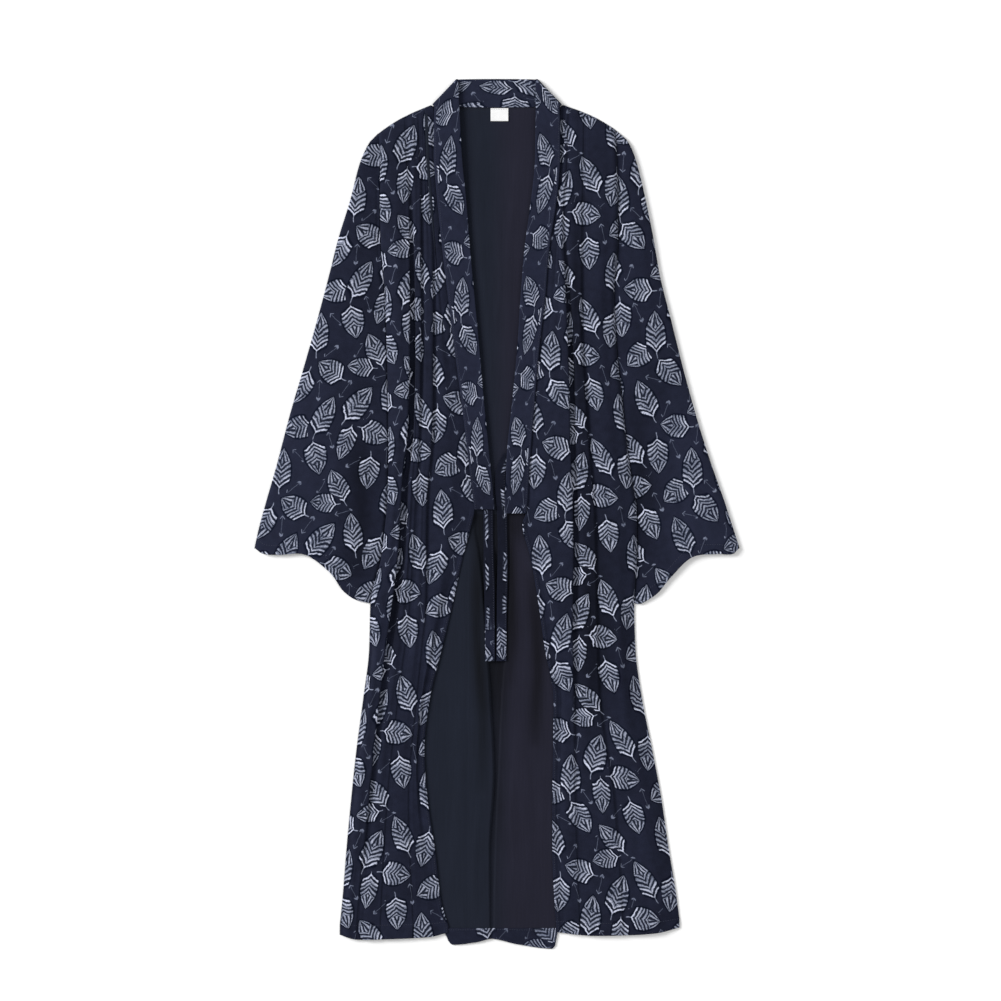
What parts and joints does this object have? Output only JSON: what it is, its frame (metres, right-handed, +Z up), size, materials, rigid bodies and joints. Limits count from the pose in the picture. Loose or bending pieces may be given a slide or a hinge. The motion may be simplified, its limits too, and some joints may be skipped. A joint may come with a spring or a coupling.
{
  "type": "cotton yukata robe",
  "caption": "Long open robe of leaf-printed cotton, laid flat: wide sleeves, a straight collar band down both fronts, and narrow ties.",
  "frame": {"origin": "on the ground under the middle of the robe's box", "axes": "+Z up, away from the surface that the robe lies on; +Y from the hem to the neck; +X to the viewer's right, looking down at the robe's open front"},
  "size_m": [0.7289, 1.3065, 0.0128],
  "materials": {
    "cotton_reverse": "matt woven cotton, plain navy reverse side",
    "printed_cotton": "matt woven cotton, navy with off-white leaf print",
    "label_tape": "satin woven tape, blank"
  },
  "bodies": {
    "root": {"back": "cotton_reverse", "back_hem_turnup": "printed_cotton", "left_front": "printed_cotton", "right_front": "printed_cotton", "left_sleeve": "printed_cotton", "right_sleeve": "printed_cotton", "collar_band": "printed_cotton", "left_tie": "printed_cotton", "right_tie": "printed_cotton", "neck_label": "label_tape"}
  },
  "joints": []
}
